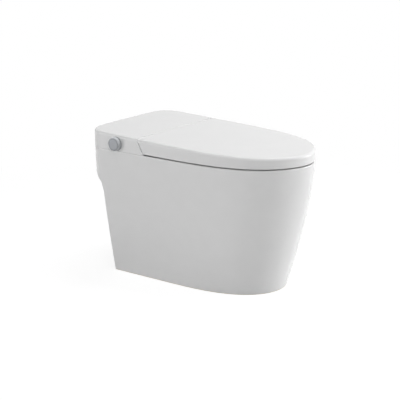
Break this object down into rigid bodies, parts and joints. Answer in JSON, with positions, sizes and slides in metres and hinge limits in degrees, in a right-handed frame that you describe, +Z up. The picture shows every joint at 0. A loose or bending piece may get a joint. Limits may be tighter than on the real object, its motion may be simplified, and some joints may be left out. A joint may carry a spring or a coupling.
{
  "type": "bidet toilet",
  "caption": "Skirted one-piece bidet toilet with a flush rear cover, sloping lid, heated seat, side knob, sliding wash wand and warm-air dryer.",
  "frame": {"origin": "centre of the waste outlet at floor level, on the symmetry plane of the bowl", "axes": "+Z up, the front of the bowl faces -Y, the seated user's right hand is on the -X side"},
  "size_m": [0.4045, 0.688, 0.4528],
  "materials": {
    "glazed_china": "gloss",
    "white_gloss": "gloss",
    "white_satin": "satin",
    "satin_chrome": "satin",
    "steel": "brushed",
    "brass": "satin",
    "black_plastic": "matt",
    "grey_plastic": "matt",
    "black_rubber": "matt",
    "white_rubber": "matt",
    "green_board": "satin",
    "foil": "satin",
    "clear_hose": "satin"
  },
  "bodies": {
    "base": {"ceramic_skirt": "glazed_china", "ceramic_deck": "glazed_china", "ceramic_compartment": "glazed_china", "ceramic_bowl": "glazed_china", "ceramic_trapway": "glazed_china", "outlet_seal": "black_rubber", "chassis_gasket": "black_rubber", "chassis": "grey_plastic", "deck_inserts": "black_rubber", "chassis_bolts": "steel", "rear_cover": "white_gloss", "cover_screws": "steel", "hinge_pins": "steel", "lid_damper": "grey_plastic", "seat_damper": "grey_plastic", "knob_bushing": "satin_chrome", "encoder": "black_plastic", "encoder_bracket": "steel", "nozzle_cradle": "white_satin", "nozzle_motor": "steel", "blower_housing": "black_plastic", "blower_motor": "steel", "dryer_duct": "white_satin", "water_heater": "black_plastic", "wash_valve": "white_satin", "warm_hose": "clear_hose", "inlet_valve": "white_satin", "inlet_fitting": "brass", "cold_hose": "clear_hose", "flush_pump": "black_plastic", "flush_motor": "steel", "supply_hose": "clear_hose", "flush_pipe": "clear_hose", "power_supply": "black_plastic", "control_case": "black_plastic", "control_board": "green_board", "cable_gland": "black_plastic"},
    "seat": {"seat_top": "white_gloss", "seat_base": "white_satin", "seat_heater": "foil", "seat_arms": "white_satin", "seat_bumpers": "white_rubber"},
    "lid": {"lid_shell": "white_gloss", "lid_liner": "white_satin", "lid_arms": "white_satin", "lid_bumpers": "white_rubber"},
    "wand": {"nozzle_wand": "white_satin", "nozzle_tip": "satin_chrome"},
    "pinion": {"nozzle_pinion": "black_plastic"},
    "flap": {"dryer_flap": "white_satin"},
    "fan": {"blower_impeller": "grey_plastic"},
    "pump_rotor": {"flush_impeller": "grey_plastic"},
    "push": {"push_slider": "black_plastic"},
    "knob": {"knob_cap": "satin_chrome", "knob_shaft": "steel"}
  },
  "joints": [
    {"name": "seat_hinge", "type": "hinge", "parent": "base", "child": "seat", "pos_m": [0, 0.10826, 0.43438], "axis": [1, 0, 0], "range_deg": [-90, 0]},
    {"name": "lid_hinge", "type": "hinge", "parent": "seat", "child": "lid", "pos_m": [0, 0.10826, 0.43438], "axis": [-1, 0, 0], "range_deg": [0, 95]},
    {"name": "nozzle_slide", "type": "slide", "parent": "base", "child": "wand", "axis": [0, -0.9563, -0.2924], "range_m": [0, 0.1]},
    {"name": "pinion_spin", "type": "hinge", "parent": "base", "child": "pinion", "pos_m": [0, 0.0863, 0.37307], "axis": [1, 0, 0], "range_deg": [0, 1001]},
    {"name": "flap_hinge", "type": "hinge", "parent": "base", "child": "flap", "pos_m": [0.054, 0.036, 0.392], "axis": [-1, 0, 0], "range_deg": [0, 55]},
    {"name": "fan_spin", "type": "hinge", "parent": "base", "child": "fan", "pos_m": [0.078, 0.175, 0.384], "axis": [0, 0, 1], "continuous": true},
    {"name": "pump_spin", "type": "hinge", "parent": "base", "child": "pump_rotor", "pos_m": [-0.07, 0.118, 0.342], "axis": [1, 0, 0], "continuous": true},
    {"name": "knob_press", "type": "slide", "parent": "base", "child": "push", "axis": [1, 0, 0], "range_m": [0, 0.002], "stiffness_N_per_m": 1200},
    {"name": "knob_turn", "type": "hinge", "parent": "push", "child": "knob", "pos_m": [-0.205, 0.171, 0.4207], "axis": [1, 0, 0], "continuous": true}
  ],
  "couplings": [
    {"joint": "pinion_spin", "follows": "nozzle_slide", "rad_per_m": 174.53}
  ]
}
